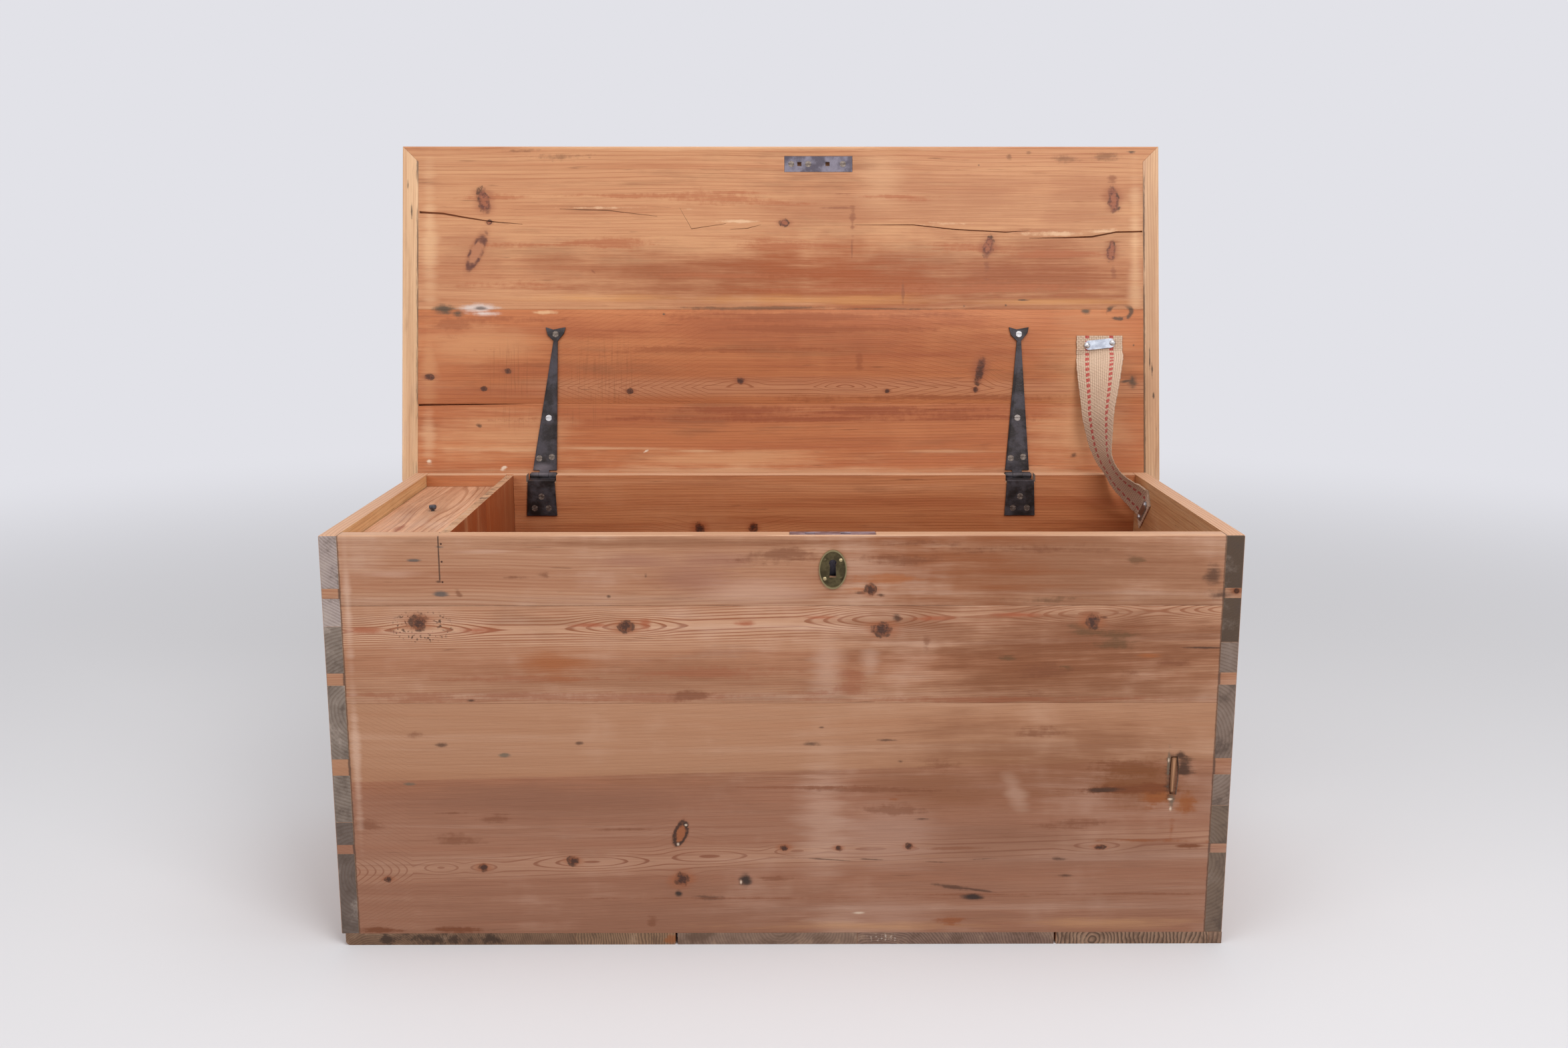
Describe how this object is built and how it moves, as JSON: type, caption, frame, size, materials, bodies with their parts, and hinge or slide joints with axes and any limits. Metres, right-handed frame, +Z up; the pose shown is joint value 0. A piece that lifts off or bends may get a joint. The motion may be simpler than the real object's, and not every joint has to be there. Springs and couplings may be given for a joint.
{
  "type": "blanket chest",
  "caption": "Dovetailed pine blanket chest with a hinged lid, iron strap hinges, a lock with keyhole plate, a small lidded till and a webbing lid stay.",
  "frame": {"origin": "on the floor, under the middle of the base", "axes": "+X along the chest to the right, +Y from the front to the back, +Z up"},
  "size_m": [1.141, 0.6109, 1.0012],
  "materials": {
    "pine_outside": "stripped pine, waxed",
    "pine_lid": "stripped pine, waxed",
    "pine_inside": "bare pine",
    "dark_knob": "blue-black stain",
    "aged_brass": "aged brass",
    "wrought_iron": "black forged iron",
    "jute_webbing": "coarse woven jute with two red stripes",
    "zinc_plate": "bright zinc plate",
    "lock_steel": "dull old steel",
    "rusty_nail": "rusty iron"
  },
  "bodies": {
    "carcase": {"back_board_lower": "pine_outside", "back_board_middle": "pine_outside", "back_board_upper": "pine_outside", "base_board_1": "pine_outside", "base_board_2": "pine_outside", "base_board_3": "pine_outside", "base_board_4": "pine_outside", "base_board_5": "pine_outside", "base_board_6": "pine_outside", "base_nails": "rusty_nail", "front_board_lower": "pine_outside", "front_board_middle": "pine_outside", "front_board_upper": "pine_outside", "key_plate": "aged_brass", "key_plate_pins": "aged_brass", "left_board_lower": "pine_outside", "left_board_middle": "pine_outside", "left_board_upper": "pine_outside", "left_hinge_lower_leaf": "wrought_iron", "left_hinge_lower_screws": "wrought_iron", "lock_cap": "lock_steel", "lock_case": "lock_steel", "lock_drill_pin": "lock_steel", "lock_screws": "lock_steel", "lock_selvedge": "lock_steel", "lock_spring": "lock_steel", "right_board_lower": "pine_outside", "right_board_middle": "pine_outside", "right_board_upper": "pine_outside", "right_hinge_lower_leaf": "wrought_iron", "right_hinge_lower_screws": "wrought_iron", "stay_lower_plate": "zinc_plate", "stay_lower_screws": "zinc_plate", "till_floor": "pine_inside", "till_ledge": "pine_inside", "till_nails": "rusty_nail", "till_wall_back": "pine_inside", "till_wall_front": "pine_inside", "till_wall_middle": "pine_inside", "webbing_stay": "jute_webbing"},
    "lid": {"lid_board_front": "pine_lid", "lid_board_middle": "pine_lid", "lid_board_back": "pine_lid", "left_lid_clamp": "pine_lid", "right_lid_clamp": "pine_lid", "lock_keeper": "lock_steel", "lock_keeper_screws": "aged_brass", "left_hinge_upper_leaf": "wrought_iron", "right_hinge_upper_leaf": "wrought_iron", "left_hinge_upper_screws": "wrought_iron", "right_hinge_upper_screws": "wrought_iron", "stay_upper_plate": "zinc_plate", "stay_upper_screws": "zinc_plate"},
    "till_lid": {"till_lid": "pine_inside", "till_knob": "dark_knob"},
    "lock_bolt": {"lock_bolt": "lock_steel"},
    "left_hinge_pin": {"left_hinge_pin": "wrought_iron"},
    "right_hinge_pin": {"right_hinge_pin": "wrought_iron"}
  },
  "joints": [
    {"name": "lid_hinge", "type": "hinge", "parent": "carcase", "child": "lid", "pos_m": [0, 0.245, 0.5144], "axis": [-1, 0, 0], "range_deg": [-101.5, 0], "deforming": ["webbing_stay"]},
    {"name": "till_lid_pivot", "type": "hinge", "parent": "carcase", "child": "till_lid", "pos_m": [-0.518, 0, 0.499], "axis": [0, -1, 0], "range_deg": [0, 100]},
    {"name": "lock_bolt_slide", "type": "slide", "parent": "carcase", "child": "lock_bolt", "axis": [1, 0, 0], "range_m": [0, 0.008]},
    {"name": "left_hinge_pin_turn", "type": "hinge", "parent": "carcase", "child": "left_hinge_pin", "pos_m": [-0.356, 0.245, 0.5144], "axis": [1, 0, 0], "continuous": true},
    {"name": "right_hinge_pin_turn", "type": "hinge", "parent": "carcase", "child": "right_hinge_pin", "pos_m": [0.355, 0.245, 0.5144], "axis": [1, 0, 0], "continuous": true}
  ]
}
